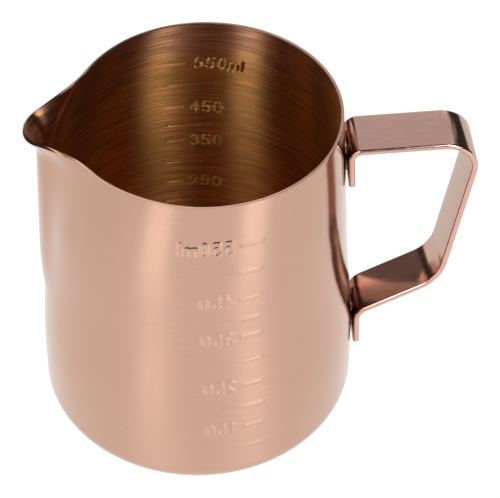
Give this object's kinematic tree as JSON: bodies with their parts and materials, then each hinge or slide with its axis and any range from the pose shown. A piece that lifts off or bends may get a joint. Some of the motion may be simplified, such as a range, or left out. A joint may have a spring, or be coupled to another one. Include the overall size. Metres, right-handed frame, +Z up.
{
  "type": "milk frothing pitcher",
  "caption": "Steel milk pitcher with a full belly, a pressed pouring spout and a bent flat-bar handle, for steaming, frothing and pouring milk.",
  "frame": {"origin": "centre of the base ring that the pitcher stands on", "axes": "+Z up out of the mouth, +X towards the handle, -X towards the spout"},
  "size_m": [0.1258, 0.092, 0.1054],
  "materials": {
    "jug_steel": "rose-gold coated stainless steel, polished outside and turned with fine rings inside",
    "handle_steel": "rose-gold coated stainless steel bar, polished, with eased edges",
    "weld_steel": "coated spot welds, dull"
  },
  "bodies": {
    "root": {"jug_body": "jug_steel", "handle": "handle_steel", "upper_foot_welds": "weld_steel", "lower_foot_welds": "weld_steel"}
  },
  "joints": []
}
